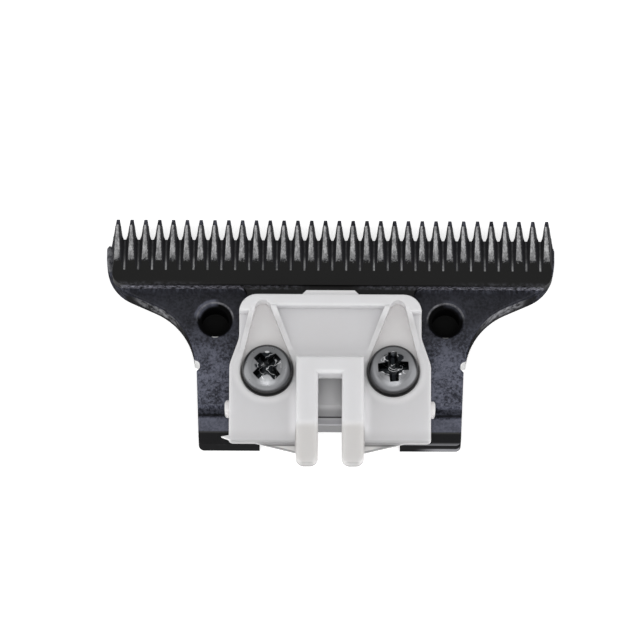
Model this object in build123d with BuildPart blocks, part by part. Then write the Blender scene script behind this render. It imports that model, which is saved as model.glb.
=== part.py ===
from build123d import *
import os
from math import atan2, cos, radians, sin, tan

# Trimmer T-blade set: a fixed toothed blade, a cutter that slides across it, the moulded yoke that
# drives the cutter, and the two screws that clamp yoke and cutter together. Millimetres.
# X runs along the tooth row, +Y points to the tooth tips and +Z to the yoke. The origin lies midway
# between the two mounting holes, on the underside of the fixed blade.

# Tooth rows, shared by both blades
tooth_count = 32
tooth_pitch = 1.27
row_offset = 0.15              # both rows stand a little to the right of the stem's centre line
groove_height = 6.0            # the groove profile reaches well above the steel that it cuts
groove_length = 12.0           # and well past the tips
past = 1.0                     # how far a cut reaches past the surface that it opens
pick = 0.05                    # how near an edge lies to the place where it is looked for

# Fixed blade, outline
fixed_thickness = 2.6
fixed_end_land = 0.22          # plain steel past each end of the tooth row
fixed_tip_y = 9.6
end_stub_y = 7.35              # the plain ends stop short of the tips
end_stub_cut = 0.55
shoulder_corner_y = 3.35       # where the end of the bar and the sloped shoulder would meet
shoulder_radius = 3.8
shoulder_slope = 24.1          # degrees
stem_half_front = 12.38
stem_fillet = 6.15             # curve from the shoulder into the stem
stem_step_gap = 0.08           # from the end of that curve to the relief below it
stem_relief_radius = 0.5
stem_step = 0.18               # the stem narrows by this much at the relief
stem_taper = 0.25              # and by this much from there to the rear
stem_rear_y = -11.7
stem_corner_radius = 0.5
edge_round = 0.22

# Fixed blade, teeth and cuts
fixed_bevel_y = 4.4            # the underside rises from here to the tips, and the grooves run out here
fixed_tip_thickness = 0.35
fixed_groove_open_y = 7.0      # where the grooves break through to the sliding face
fixed_groove_floor = 0.13      # width of each groove at its bottom
fixed_groove_flank = 13.0      # lean of its walls, degrees
mount_spacing = 21.1
mount_hole_radius = 1.25
mount_chamfer_radius = 1.72
mount_chamfer_angle = 90.0     # degrees
underside_chamfer = 0.3
guide_y = -8.7                 # guide groove across the stem
guide_groove_radius = 0.9
guide_groove_depth = 0.25
rear_bevel_run = 1.1
rear_bevel_drop = 0.4
rear_notch_half = 6.4
rear_notch_depth = 1.8
rear_notch_radius = 0.8

# Moving blade
cutter_thickness = 1.4
cutter_end_trim = 0.19         # the bar stops this far inside each end of the row
cutter_end_round = 1.0         # rear corners of the bar
cutter_set_back = 0.6          # of its tips behind those of the fixed blade
cutter_tip_thickness = 0.35
cutter_rear_y = 2.98
cutter_bevel_y = 5.19
cutter_groove_start_y = 4.32
cutter_groove_open_y = 7.68
cutter_groove_floor = 0.2
cutter_groove_corner = 0.15    # chamfer between the bottom and the walls
cutter_groove_flank = 19.0     # degrees
hollow_front_y = 6.4           # hollow-ground relief under the bar
hollow_rear_y = 3.5
hollow_depth = 0.15
cutter_stem_drop = 0.3         # the stem is ground lower than the bar
cutter_stem_half = 7.6
cutter_stem_behind = 2.2       # steel behind the screws' axes
cutter_stem_fillet = 0.9
cutter_stem_corner = 1.0
cutter_notch_half = 1.5        # clears the drive pin
cutter_notch_y = -4.6

# Screws
screw_edge = 1.85              # from each screw's axis to the side of the cutter's stem
screw_y = -5.4
screw_radius = 1.25
screw_head_radius = 2.28
screw_head_side = 1.35         # height of the head's side, before its edge is rounded
screw_head_round = 0.9
screw_head_height = 1.95
screw_recess_span = 2.9
screw_recess_wing = 0.9
screw_recess_core = 1.35       # square in the middle of the cross, turned by 45 degrees
screw_recess_depth = 1.25
screw_recess_taper = 13.0      # lean of the recess walls, degrees
screw_turns = (42.0, 4.0)      # degrees, left and right screw
thread_clearance = 0.05        # round the screws in the cutter's stem

# Drive yoke
sliding_clearance = 0.15       # between the yoke's underside and the fixed blade
seat_clearance = 0.1           # round the cutter's stem in the yoke's recess
guide_clearance = 0.1          # between the guide rib and its groove
plate_above_stem = 0.9
rim_height = 1.1
rim_width = 1.1
yoke_set_back = 1.36           # of its front edge behind the cutter's bar
yoke_overhang = 0.49           # of its rear edge behind the fixed blade
yoke_wall = 0.62               # beside the cutter's stem
yoke_flare = 0.87              # the rear half is wider by this much on each side
flare_set_back = 3.82          # from the front edge to the start of the flare
flare_run = 2.59
yoke_front_radius = 1.65
yoke_flare_radius = 2.0
yoke_rear_radius = 0.45
rear_undercut = 1.3
yoke_edge_round = 0.22
tab_half = 2.2
tab_reach = 0.45
tab_drop = 0.4
pocket_clearance = 0.2         # round each screw head in its recess
pocket_depth = 0.3
screw_hole_clearance = 0.2
channel_radius = 0.72          # front end of the channel that runs from each screw to the rim
channel_set_back = 1.3         # of its centre behind the front edge
channel_offset = 0.4           # the channels lean outwards by this much at the rim
rib_thickness = 0.45
rib_run = 3.95                 # length of the ribs behind the rim
fork_half = 3.1
fork_front_y = -4.5
fork_height = 1.9              # above the plate
fork_slope_run = 3.1
fork_overhang = 1.76           # of the prongs behind the yoke's rear edge
fork_tip_height = 1.25
fork_slot_half = 1.08
fork_bridge = 1.63             # solid stretch in front of the slot
fork_crest_round = 0.8
fork_edge_round = 0.35
fork_tip_round = 0.75
least_upward = 0.5             # share of a face's normal that points up, on the faces that are rounded
root_web_length = 3.7
root_web_reach = 0.9
root_web_height = 0.3
guide_stub = 0.4               # the ends of the guide rib stand out at the yoke's sides
guide_end_round = 0.75
guide_end_side = 0.2           # the rounding starts this far outside the rib
flash_reach = 0.68             # thin moulding lip at one rear corner
flash_root = 0.65
flash_tip = 0.52               # in front of the rear edge
flash_height = 0.4

# Heights and places worked out from the sizes above
tooth_row = tooth_count * tooth_pitch
fixed_half = tooth_row / 2 + fixed_end_land
shoulder_run = fixed_half - stem_half_front
stem_half_side = stem_half_front - stem_step
stem_half_rear = stem_half_side - stem_taper
stem_top_y = shoulder_corner_y - shoulder_run * tan(radians(shoulder_slope))
stem_curve_run = stem_fillet * tan(radians((90 - shoulder_slope) / 2))
stem_step_y = stem_top_y - stem_curve_run - stem_step_gap
rear_bevel_y = stem_rear_y + rear_bevel_run
rear_notch_y = stem_rear_y + rear_notch_depth
mount_x = mount_spacing / 2
across = fixed_half + past     # half the length of a cut that runs across the whole set
sliding_z = fixed_thickness
cutter_half = tooth_row / 2 - cutter_end_trim
cutter_tip_y = fixed_tip_y - cutter_set_back
cutter_stem_rear_y = screw_y - cutter_stem_behind
screw_x = cutter_stem_half - screw_edge
cutter_top_z = sliding_z + cutter_thickness
cutter_stem_z = cutter_top_z - cutter_stem_drop
plate_z = cutter_stem_z + plate_above_stem
rim_z = plate_z + rim_height
seat_z = plate_z - pocket_depth
fork_z = plate_z + fork_height
yoke_underside_z = sliding_z + sliding_clearance
undercut_z = yoke_underside_z + rear_undercut
yoke_front_y = cutter_rear_y - yoke_set_back
yoke_rear_y = stem_rear_y - yoke_overhang
yoke_half_front = cutter_stem_half + seat_clearance + yoke_wall
yoke_half_rear = yoke_half_front + yoke_flare
flare_front_y = yoke_front_y - flare_set_back
flare_rear_y = flare_front_y - flare_run
rim_rear_y = yoke_front_y - rim_width
rim_end_y = yoke_front_y - yoke_front_radius
rib_end_y = rim_rear_y - rib_run
channel_y = yoke_front_y - channel_set_back
pocket_radius = screw_head_radius + pocket_clearance
fork_slot_y = fork_front_y - fork_bridge
fork_tip_y = yoke_rear_y - fork_overhang
fork_slope_y = fork_tip_y + fork_slope_run
guide_axis_z = sliding_z - guide_groove_depth + guide_groove_radius
guide_rib_radius = guide_groove_radius - guide_clearance
guide_rib_low_z = guide_axis_z - guide_rib_radius


def both_sides(*right):
    """Outline points of a symmetric profile, from those of its right half."""
    return right + tuple((-x, y) for x, y in reversed(right))


def groove_plane(start_y, start_z, open_y, open_z):
    """Plane square to a tooth groove, at its run-out, with the groove's depth along local Y."""
    lean = atan2(open_z - start_z, open_y - start_y)
    return Plane(origin=(row_offset, start_y, start_z), x_dir=(1, 0, 0), z_dir=(0, cos(lean), sin(lean)))


def groove_profile(floor, flank, opens, corner=0):
    """Row of V profiles, one on each side of every tooth; opens is +1 or -1 along local Y."""
    half = floor / 2 + corner
    spread = half + (groove_height - corner) * tan(radians(flank))
    right = [(spread, opens * groove_height), (half, opens * corner)]
    if corner:
        right.append((floor / 2, 0))
    with GridLocations(tooth_pitch, 0, tooth_count + 1, 1):
        Polygon(*both_sides(*right), align=None)


# Fixed blade: T outline, bevelled teeth, holes, guide groove and rear notch
with BuildSketch() as fixed_outline:
    Polygon(
        *both_sides(
            (fixed_half - end_stub_cut, end_stub_y),
            (fixed_half, end_stub_y - end_stub_cut),
            (fixed_half, shoulder_corner_y),
            (stem_half_front, stem_top_y),
            (stem_half_front, stem_step_y),
            (stem_half_side, stem_step_y - stem_relief_radius),
            (stem_half_rear, stem_rear_y),
        ),
        align=None,
    )
    shoulders = fixed_outline.vertices().filter_by_position(Axis.Y, shoulder_corner_y, shoulder_corner_y)
    fillet(shoulders, shoulder_radius)
    stem_tops = fixed_outline.vertices().filter_by_position(Axis.Y, stem_top_y, stem_top_y)
    fillet(stem_tops, stem_fillet)
    fillet(fixed_outline.vertices().group_by(Axis.Y)[0], stem_corner_radius)

with BuildPart() as fixed_blade:
    extrude(fixed_outline.sketch, amount=fixed_thickness)
    outer_edges = fixed_blade.edges().group_by(Axis.Z)[-1].filter_by(
        lambda edge: edge.center().Y < end_stub_y - end_stub_cut
    )
    fillet(outer_edges, edge_round)
    # Plain strip that the teeth are cut from
    with BuildSketch():
        with Locations((row_offset, fixed_tip_y)):
            Rectangle(tooth_row, fixed_tip_y - end_stub_y + end_stub_cut, align=(Align.CENTER, Align.MAX))
    extrude(amount=fixed_thickness)
    # The underside rises to the tips
    with BuildSketch(Plane.YZ):
        tip_z = sliding_z - fixed_tip_thickness
        rise = tip_z / (fixed_tip_y - fixed_bevel_y)
        Polygon(
            (fixed_bevel_y, 0),
            (fixed_tip_y + past, tip_z + past * rise),
            (fixed_tip_y + past, -past),
            (fixed_bevel_y, -past),
            align=None,
        )
    extrude(amount=across, both=True, mode=Mode.SUBTRACT)
    # Tooth gaps, cut upwards from the underside
    with BuildSketch(groove_plane(fixed_bevel_y, 0, fixed_groove_open_y, sliding_z)):
        groove_profile(fixed_groove_floor, fixed_groove_flank, 1)
    extrude(amount=groove_length, mode=Mode.SUBTRACT)
    # Relief at the top of the stem, one on each side
    with BuildSketch():
        with Locations((-stem_half_front, stem_step_y), (stem_half_front, stem_step_y)):
            Circle(stem_relief_radius)
    extrude(amount=fixed_thickness, mode=Mode.SUBTRACT)
    # Rear notch that clears the drive
    with BuildSketch():
        with Locations((0, rear_notch_y)):
            RectangleRounded(
                2 * rear_notch_half,
                2 * (rear_notch_y - stem_rear_y),
                rear_notch_radius,
                align=(Align.CENTER, Align.MAX),
            )
    extrude(amount=fixed_thickness, mode=Mode.SUBTRACT)
    # Round-bottomed guide groove and the bevel behind it
    with Locations(Location((0, guide_y, guide_axis_z), (0, 90, 0))):
        Cylinder(guide_groove_radius, 2 * across, mode=Mode.SUBTRACT)
    with BuildSketch(Plane.YZ):
        Polygon(
            (rear_bevel_y, sliding_z),
            (stem_rear_y, sliding_z - rear_bevel_drop),
            (stem_rear_y - past, sliding_z - rear_bevel_drop),
            (stem_rear_y - past, sliding_z + past),
            (rear_bevel_y, sliding_z + past),
            align=None,
        )
    extrude(amount=across, both=True, mode=Mode.SUBTRACT)
    # Mounting holes, chamfered on both faces
    with Locations((-mount_x, 0, fixed_thickness), (mount_x, 0, fixed_thickness)):
        CounterSinkHole(mount_hole_radius, mount_chamfer_radius, counter_sink_angle=mount_chamfer_angle)
    hole_edges = fixed_blade.edges().filter_by(GeomType.CIRCLE).group_by(Axis.Z)[0].filter_by(
        lambda edge: abs(edge.radius - mount_hole_radius) < pick
    )
    chamfer(hole_edges, underside_chamfer)

# Moving blade: toothed bar on a lower stem, hollow ground below
with BuildPart() as moving_blade:
    with BuildSketch(Plane.XY.offset(sliding_z)):
        with Locations((row_offset, cutter_rear_y)):
            bar = Rectangle(2 * cutter_half, cutter_tip_y - cutter_rear_y, align=(Align.CENTER, Align.MIN))
        fillet(bar.vertices().group_by(Axis.Y)[0], cutter_end_round)
    extrude(amount=cutter_thickness)
    with BuildSketch(Plane.XY.offset(sliding_z)) as cutter_stem:
        with Locations((0, cutter_bevel_y)):
            Rectangle(
                2 * cutter_stem_half,
                cutter_bevel_y - cutter_stem_rear_y,
                align=(Align.CENTER, Align.MAX),
            )
        with Locations((0, cutter_stem_rear_y)):
            Rectangle(
                2 * cutter_notch_half,
                cutter_notch_y - cutter_stem_rear_y,
                align=(Align.CENTER, Align.MIN),
                mode=Mode.SUBTRACT,
            )
        leg_corners = cutter_stem.vertices().group_by(Axis.Y)[0].sort_by(Axis.X)
        fillet([leg_corners[0], leg_corners[-1]], cutter_stem_corner)
    extrude(amount=cutter_thickness - cutter_stem_drop)
    # Rounded inner corners where the stem leaves the bar
    inner_corners = moving_blade.edges().filter_by(Axis.Z).filter_by(
        lambda edge: abs(abs(edge.center().X) - cutter_stem_half) < pick
        and abs(edge.center().Y - cutter_rear_y) < pick
    )
    fillet(inner_corners, cutter_stem_fillet)
    # Bevel on top, falling to the tips
    with BuildSketch(Plane.YZ):
        tip_z = sliding_z + cutter_tip_thickness
        fall = (cutter_top_z - tip_z) / (cutter_tip_y - cutter_bevel_y)
        Polygon(
            (cutter_bevel_y, cutter_top_z),
            (cutter_tip_y + past, tip_z - past * fall),
            (cutter_tip_y + past, cutter_top_z + past),
            (cutter_bevel_y, cutter_top_z + past),
            align=None,
        )
    extrude(amount=across, both=True, mode=Mode.SUBTRACT)
    # Tooth gaps, cut downwards from the bevel
    with BuildSketch(groove_plane(cutter_groove_start_y, cutter_top_z, cutter_groove_open_y, sliding_z)):
        groove_profile(cutter_groove_floor, cutter_groove_flank, -1, cutter_groove_corner)
    extrude(amount=groove_length, mode=Mode.SUBTRACT)
    # Hollow grind, so that only the tooth rail and the rear rail touch
    with BuildSketch(Plane.XY.offset(sliding_z)):
        with Locations((row_offset, hollow_rear_y)):
            Rectangle(tooth_row, hollow_front_y - hollow_rear_y, align=(Align.CENTER, Align.MIN))
    extrude(amount=hollow_depth, mode=Mode.SUBTRACT)
    # Tapped holes for the yoke's screws
    with Locations((-screw_x, screw_y, cutter_stem_z), (screw_x, screw_y, cutter_stem_z)):
        Hole(screw_radius + thread_clearance)

# One pan-head screw with a tapered cross recess, standing on its seat
with BuildPart() as screw:
    with BuildSketch(Plane.XZ) as screw_side:
        with BuildLine():
            Polyline(
                (0, screw_head_height),
                (0, yoke_underside_z - seat_z),
                (screw_radius, yoke_underside_z - seat_z),
                (screw_radius, 0),
                (screw_head_radius, 0),
                (screw_head_radius, screw_head_side),
            )
            TangentArc((0, screw_head_height), (screw_head_radius, screw_head_side), tangent=(1, 0))
        make_face()
        fillet(screw_side.vertices().group_by(Axis.X)[-1].sort_by(Axis.Y)[-1], screw_head_round)
    revolve(axis=Axis.Z)
    with BuildSketch(Plane.XY.offset(screw_head_height)):
        Rectangle(screw_recess_span, screw_recess_wing)
        Rectangle(screw_recess_wing, screw_recess_span)
        Rectangle(screw_recess_core, screw_recess_core, rotation=45)
    extrude(amount=-screw_recess_depth, taper=screw_recess_taper, mode=Mode.SUBTRACT)

with BuildPart() as yoke_screws:
    for side, turn in zip((-1, 1), screw_turns):
        with Locations(Location((side * screw_x, screw_y, seat_z), (0, 0, turn))):
            add(screw.part)

# Drive yoke: plate with a raised front rim, screw recesses between ribs, and the fork
with BuildSketch(Plane.XY.offset(yoke_underside_z)) as yoke_outline:
    Polygon(
        *both_sides(
            (yoke_half_front, yoke_front_y),
            (yoke_half_front, flare_front_y),
            (yoke_half_rear, flare_rear_y),
            (yoke_half_rear, yoke_rear_y),
        ),
        align=None,
    )
    fillet(yoke_outline.vertices().group_by(Axis.Y)[-1], yoke_front_radius)
    fillet(yoke_outline.vertices().filter_by_position(Axis.Y, flare_rear_y, flare_front_y), yoke_flare_radius)
    fillet(yoke_outline.vertices().group_by(Axis.Y)[0], yoke_rear_radius)

with BuildSketch(Plane.XY.offset(yoke_underside_z)) as rim_outline:
    add(yoke_outline.sketch_local)
    offset(yoke_outline.sketch_local, amount=-rim_width, mode=Mode.SUBTRACT)
    with Locations((0, rim_end_y)):
        Rectangle(
            2 * yoke_half_rear,
            rim_end_y - yoke_rear_y,
            align=(Align.CENTER, Align.MAX),
            mode=Mode.SUBTRACT,
        )

# Channel from each screw to the rim, narrowing forwards
with BuildSketch() as right_channel:
    with Locations((screw_x + channel_offset, channel_y)):
        Circle(channel_radius)
    with Locations((screw_x, screw_y)):
        Circle(pocket_radius)
    make_hull()

with BuildSketch(Plane.XY.offset(seat_z)) as channel_outline:
    add(right_channel.sketch)
    mirror(about=Plane.YZ)

# Raised rim along the front edge, with its corners
with BuildPart() as front_rim:
    extrude(rim_outline.sketch, amount=rim_z - yoke_underside_z)
    fillet(front_rim.faces().sort_by(Axis.Z)[-1].edges(), yoke_edge_round)

# Ribs beside the channels, falling from the rim to the plate
with BuildPart() as channel_ribs:
    with BuildSketch(Plane.XY.offset(plate_z)):
        offset(channel_outline.sketch_local, amount=rib_thickness)
    extrude(amount=rim_height)
    with BuildSketch(Plane.YZ):
        Polygon(
            (rim_rear_y, plate_z),
            (rim_rear_y, rim_z),
            (rib_end_y, plate_z),
            align=None,
        )
    extrude(amount=across, both=True, mode=Mode.INTERSECT)

# Fork: side view and slot, with rounded upper edges
with BuildPart() as fork:
    with BuildSketch(Plane.YZ) as fork_side:
        Polygon(
            (fork_front_y, yoke_underside_z),
            (fork_front_y, fork_z),
            (fork_slope_y, fork_z),
            (fork_tip_y, yoke_underside_z + fork_tip_height),
            (fork_tip_y, yoke_underside_z),
            align=None,
        )
        fillet(fork_side.vertices().filter_by_position(Axis.X, fork_slope_y, fork_slope_y), fork_crest_round)
    extrude(amount=fork_half, both=True)
    with BuildSketch(Plane.YZ):
        Polygon(
            (fork_slot_y, fork_z + past),
            (fork_slot_y, yoke_underside_z - past),
            (fork_tip_y - past, yoke_underside_z - past),
            (fork_tip_y - past, fork_z + past),
            align=None,
        )
    extrude(amount=fork_slot_half, both=True, mode=Mode.SUBTRACT)
    fillet(fork.edges().filter_by(Axis.Z).group_by(Axis.Y)[0], fork_tip_round)
    upper_edges = fork.faces().filter_by(lambda face: face.normal_at().Z > least_upward).edges()
    crest_lines = upper_edges.filter_by(Axis.X).filter_by(
        lambda edge: fork_tip_y + pick < edge.center().Y < fork_slot_y - pick
    )
    fillet(upper_edges - crest_lines, fork_edge_round)

# Guide rib, with rounded ends that stand out at the yoke's sides
with BuildPart() as guide_rib:
    with BuildSketch(Plane.XY.offset(guide_rib_low_z)):
        with Locations((0, guide_y)):
            RectangleRounded(
                2 * (yoke_half_rear + guide_stub),
                2 * (guide_rib_radius + guide_end_side),
                guide_end_round,
            )
    extrude(amount=2 * guide_rib_radius)
    with Locations(Location((0, guide_y, guide_axis_z), (0, 90, 0))):
        Cylinder(guide_rib_radius, 2 * across, mode=Mode.INTERSECT)

with BuildPart() as drive_yoke:
    extrude(yoke_outline.sketch, amount=plate_z - yoke_underside_z)
    fillet(drive_yoke.faces().sort_by(Axis.Z)[-1].edges(), yoke_edge_round)
    # The rear edge is undercut, clear of the fixed blade's bevel
    with BuildSketch(Plane.YZ):
        Polygon(
            (yoke_rear_y + rear_undercut, yoke_underside_z),
            (yoke_rear_y, undercut_z),
            (yoke_rear_y - past, undercut_z),
            (yoke_rear_y - past, yoke_underside_z),
            align=None,
        )
    extrude(amount=across, both=True, mode=Mode.SUBTRACT)
    add(front_rim.part)
    add(channel_ribs.part)
    # Small sloped tab at the middle of the front edge
    with BuildSketch(Plane.XY.offset(cutter_stem_z)):
        Polygon(
            (-tab_half - tab_reach, yoke_front_y),
            (tab_half + tab_reach, yoke_front_y),
            (tab_half, yoke_front_y + tab_reach),
            (-tab_half, yoke_front_y + tab_reach),
            align=None,
        )
    extrude(amount=rim_z - tab_drop - cutter_stem_z)
    add(fork.part)
    add(guide_rib.part)
    # Webs at the roots of the prongs
    for side in (-1, 1):
        with BuildSketch(Plane.XY.offset(undercut_z)):
            Polygon(
                (side * fork_half, yoke_rear_y),
                (side * (fork_half + root_web_length), yoke_rear_y),
                (side * fork_half, yoke_rear_y - root_web_reach),
                align=None,
            )
        extrude(amount=root_web_height)
    # Thin moulding lip at the left rear corner
    with BuildSketch(Plane.XY.offset(plate_z - flash_height)):
        Polygon(
            (-yoke_half_rear, yoke_rear_y + flash_root),
            (-yoke_half_rear - flash_reach, yoke_rear_y + flash_tip),
            (-yoke_half_rear + flash_root, yoke_rear_y),
            align=None,
        )
    extrude(amount=flash_height)
    # Channels and recesses for the screws
    extrude(channel_outline.sketch, amount=fork_z - seat_z, mode=Mode.SUBTRACT)
    with Locations((-screw_x, screw_y, plate_z), (screw_x, screw_y, plate_z)):
        Hole(screw_radius + screw_hole_clearance)
    # Recess below for the cutter's stem
    with BuildSketch(Plane.XY.offset(yoke_underside_z)):
        with Locations((0, cutter_stem_rear_y - seat_clearance)):
            Rectangle(
                2 * (cutter_stem_half + seat_clearance),
                cutter_rear_y - cutter_stem_rear_y,
                align=(Align.CENTER, Align.MIN),
            )
    extrude(amount=cutter_stem_z - yoke_underside_z, mode=Mode.SUBTRACT)
    # The fork's slot through the plate and the rib, running on below the bridge to the cutter's notch
    with BuildSketch(Plane.YZ):
        Polygon(
            (cutter_notch_y, plate_z),
            (fork_slot_y, plate_z),
            (fork_slot_y, fork_z),
            (fork_tip_y - past, fork_z),
            (fork_tip_y - past, guide_rib_low_z - past),
            (cutter_notch_y, guide_rib_low_z - past),
            align=None,
        )
    extrude(amount=fork_slot_half, both=True, mode=Mode.SUBTRACT)

os.makedirs("parts", exist_ok=True)
fixed_blade.part.label = "fixed_blade"
export_step(fixed_blade.part, "parts/fixed_blade.step")
moving_blade.part.label = "moving_blade"
export_step(moving_blade.part, "parts/moving_blade.step")
drive_yoke.part.label = "drive_yoke"
export_step(drive_yoke.part, "parts/drive_yoke.step")
yoke_screws.part.label = "yoke_screws"
export_step(yoke_screws.part, "parts/yoke_screws.step")
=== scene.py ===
"""Studio picture of a trimmer blade set: its four pieces' finishes, the light, the floor and the camera."""

import logging
from dataclasses import dataclass, field
from enum import Enum
from functools import cache, partial, reduce
from math import cos, pi, radians, sin

import bpy
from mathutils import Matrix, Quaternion, Vector


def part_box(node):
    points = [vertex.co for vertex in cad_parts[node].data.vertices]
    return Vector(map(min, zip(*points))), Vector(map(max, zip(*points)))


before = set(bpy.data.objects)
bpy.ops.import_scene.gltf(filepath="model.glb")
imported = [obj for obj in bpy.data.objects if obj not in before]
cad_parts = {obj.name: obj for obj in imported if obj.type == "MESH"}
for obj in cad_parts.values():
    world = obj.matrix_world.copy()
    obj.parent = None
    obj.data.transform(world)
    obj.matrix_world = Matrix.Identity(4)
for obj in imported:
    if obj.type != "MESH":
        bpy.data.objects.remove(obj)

log = logging.getLogger("blade_set")

MM_PER_M = 1000.0

Material = bpy.types.Material
Node = bpy.types.Node
Socket = bpy.types.NodeSocket
Tree = bpy.types.NodeTree
Colour = tuple[float, float, float, float]
Factors = tuple[float, float, float]
Feed = Socket | float | tuple[float, ...]
Inputs = dict[str | int, Feed]
# Where a mask is 0 and where it is 1; the first may be the larger. Spans over a piece are in millimetres,
# from one of its edges or faces or from the origin. Spans over noise are in the noise's own values.
Span = tuple[float, float]
# The values that a mask of 0 and a mask of 1 turn into.
Ends = tuple[float, float]
# The two edges of a mask, and how soft they are.
Band = tuple[float, float, float]

BLACK: Colour = (0.0, 0.0, 0.0, 1.0)
WHITE: Colour = (1.0, 1.0, 1.0, 1.0)
ALONG_X_ONLY: Factors = (1.0, 0.0, 0.0)
# Cloudy noise keeps close to its middle. This stretch of it is spread from 0 to 1.
NOISE_MIDDLE = 0.5
NOISE_SPAN: Span = (0.34, 0.66)


class Piece(Enum):
    """Names of the pieces that the set is made of."""

    FIXED_BLADE = "fixed_blade"
    CUTTER = "moving_blade"
    YOKE = "drive_yoke"
    SCREWS = "yoke_screws"


class Kind(Enum):
    """Kinds of socket on a shared effect."""

    NUMBER = "NodeSocketFloat"
    PLACE = "NodeSocketVector"


@dataclass(frozen=True)
class Cloud:
    """Cloudy noise: its patches to a millimetre, how many finer layers it has, and how strong they are."""

    scale: Feed
    detail: float = 3.0
    rough: float = 0.55


@dataclass(frozen=True)
class Mottle:
    """Specks on clouds: clouds and specks to a millimetre, and the share of the specks."""

    clouds: float
    specks: float
    share: float


@dataclass(frozen=True)
class Grain:
    """Fine grain: grains to a millimetre, the share of drawn-out marks, strength, and depth in metres."""

    scale: float
    marks: float
    strength: float
    depth: float = 0.00002


@dataclass(frozen=True)
class Border:
    """The border of a ground face: its reach off the face's plane, and how ragged it is and how finely."""

    reach: float
    rag: float
    rag_scale: float


class Wiring:
    """Adds nodes to one node tree and joins them, so that a finish reads as a list of steps."""

    def __init__(self, tree: Tree) -> None:
        """Takes the tree that the nodes go into."""
        self.tree = tree

    def feed(self, socket: Socket, value: Feed) -> None:
        """Links a socket to another one, or sets it to a constant.

        Args:
            socket: the input socket.
            value: the output socket or the constant that feeds it.
        """
        if isinstance(value, Socket):
            self.tree.links.new(value, socket)
        else:
            socket.default_value = value

    def add(self, kind: str, inputs: Inputs, **settings: object) -> Node:
        """Adds one node.

        Args:
            kind: Blender's name for the kind of node.
            inputs: what each input socket is fed with.
            **settings: the node's own options.

        Returns:
            The new node.
        """
        node = self.tree.nodes.new(kind)
        for name, setting in settings.items():
            setattr(node, name, setting)
        for socket, value in inputs.items():
            self.feed(node.inputs[socket], value)
        return node

    def math(self, operation: str, first: Feed, second: Feed = 0.0) -> Socket:
        """Does one sum on two values and returns its result."""
        return self.add("ShaderNodeMath", {0: first, 1: second}, operation=operation).outputs[0]

    def plus(self, first: Feed, second: Feed) -> Socket:
        """Returns the sum of two values."""
        return self.math("ADD", first, second)

    def minus(self, first: Feed, second: Feed) -> Socket:
        """Returns the first value less the second."""
        return self.math("SUBTRACT", first, second)

    def over(self, first: Feed, second: Feed) -> Socket:
        """Returns the first value divided by the second."""
        return self.math("DIVIDE", first, second)

    def absolute(self, value: Feed) -> Socket:
        """Returns a value without its sign."""
        return self.math("ABSOLUTE", value)

    def times(self, *values: Feed) -> Feed:
        """Returns the product of several values or masks."""
        return reduce(partial(self.math, "MULTIPLY"), values)

    def largest(self, *values: Feed) -> Feed:
        """Returns the largest of several masks."""
        return reduce(partial(self.math, "MAXIMUM"), values)

    def squares(self, first: Feed, second: Feed) -> Socket:
        """Returns the sum of the squares of two values."""
        return self.plus(self.times(first, first), self.times(second, second))

    def step(self, value: Feed, low: Feed, high: Feed) -> Socket:
        """Returns a smooth step from 0 at low to 1 at high; low may be above high."""
        inputs = {"Value": value, "From Min": low, "From Max": high}
        return self.add("ShaderNodeMapRange", inputs, interpolation_type="SMOOTHSTEP").outputs["Result"]

    def past(self, first: Feed, second: Feed, span: Span) -> Socket:
        """Returns a smooth step over a span of the first value less the second."""
        return self.step(self.minus(first, second), *span)

    def band(self, value: Feed, low: float, high: float, soft: float) -> Feed:
        """Returns 1 between low and high, with soft edges of the given width."""
        rise = self.step(value, low - soft, low + soft)
        return self.times(rise, self.step(value, high + soft, high - soft))

    def blend(self, share: Feed, first: Feed, second: Feed, kind: str = "MIX") -> Socket:
        """Blends two colours and returns the result."""
        inputs = {0: share, 6: first, 7: second}
        return self.add("ShaderNodeMix", inputs, data_type="RGBA", blend_type=kind).outputs[2]

    def between(self, share: Feed, first: Feed, second: Feed) -> Socket:
        """Blends two values and returns the result."""
        return self.add("ShaderNodeMix", {0: share, 2: first, 3: second}, data_type="FLOAT").outputs[0]

    def noise(self, place: Feed, cloud: Cloud) -> Socket:
        """Returns cloudy noise from about 0.2 to 0.8."""
        inputs = {"Vector": place, "Scale": cloud.scale, "Detail": cloud.detail, "Roughness": cloud.rough}
        return self.add("ShaderNodeTexNoise", inputs).outputs["Fac"]

    def waver(self, place: Feed, cloud: Cloud) -> Socket:
        """Returns cloudy noise on both sides of 0."""
        return self.minus(self.noise(place, cloud), NOISE_MIDDLE)

    def stretch(self, place: Feed, factors: Factors) -> Socket:
        """Returns a place scaled along its axes, so that a pattern is drawn out along one of them."""
        return self.add("ShaderNodeVectorMath", {0: place, 1: factors}, operation="MULTIPLY").outputs[0]

    def apart(self, place: Feed) -> tuple[Socket, ...]:
        """Returns the three parts of a place or direction."""
        return tuple(self.add("ShaderNodeSeparateXYZ", {0: place}).outputs)

    def effect(self, tree: Tree, inputs: Inputs) -> Socket:
        """Places a shared effect with its own values and returns its output."""
        return self.add("ShaderNodeGroup", inputs, node_tree=tree).outputs[0]


def effect_tree(name: str, inputs: dict[Kind, tuple[str, ...]]) -> tuple[Wiring, dict[str, Socket], Node]:
    """Starts a shared effect, a shader node group with one output.

    Args:
        name: the effect's name.
        inputs: the names of its inputs of each kind.

    Returns:
        The group's wiring, its input sockets by name, and its output node.
    """
    tree = bpy.data.node_groups.new(name, "ShaderNodeTree")
    for kind, labels in inputs.items():
        for label in labels:
            tree.interface.new_socket(label, in_out="INPUT", socket_type=kind.value)
    tree.interface.new_socket("Mask", in_out="OUTPUT", socket_type=Kind.NUMBER.value)
    source = tree.nodes.new("NodeGroupInput")
    sockets = {label: source.outputs[label] for labels in inputs.values() for label in labels}
    return Wiring(tree), sockets, tree.nodes.new("NodeGroupOutput")


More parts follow.
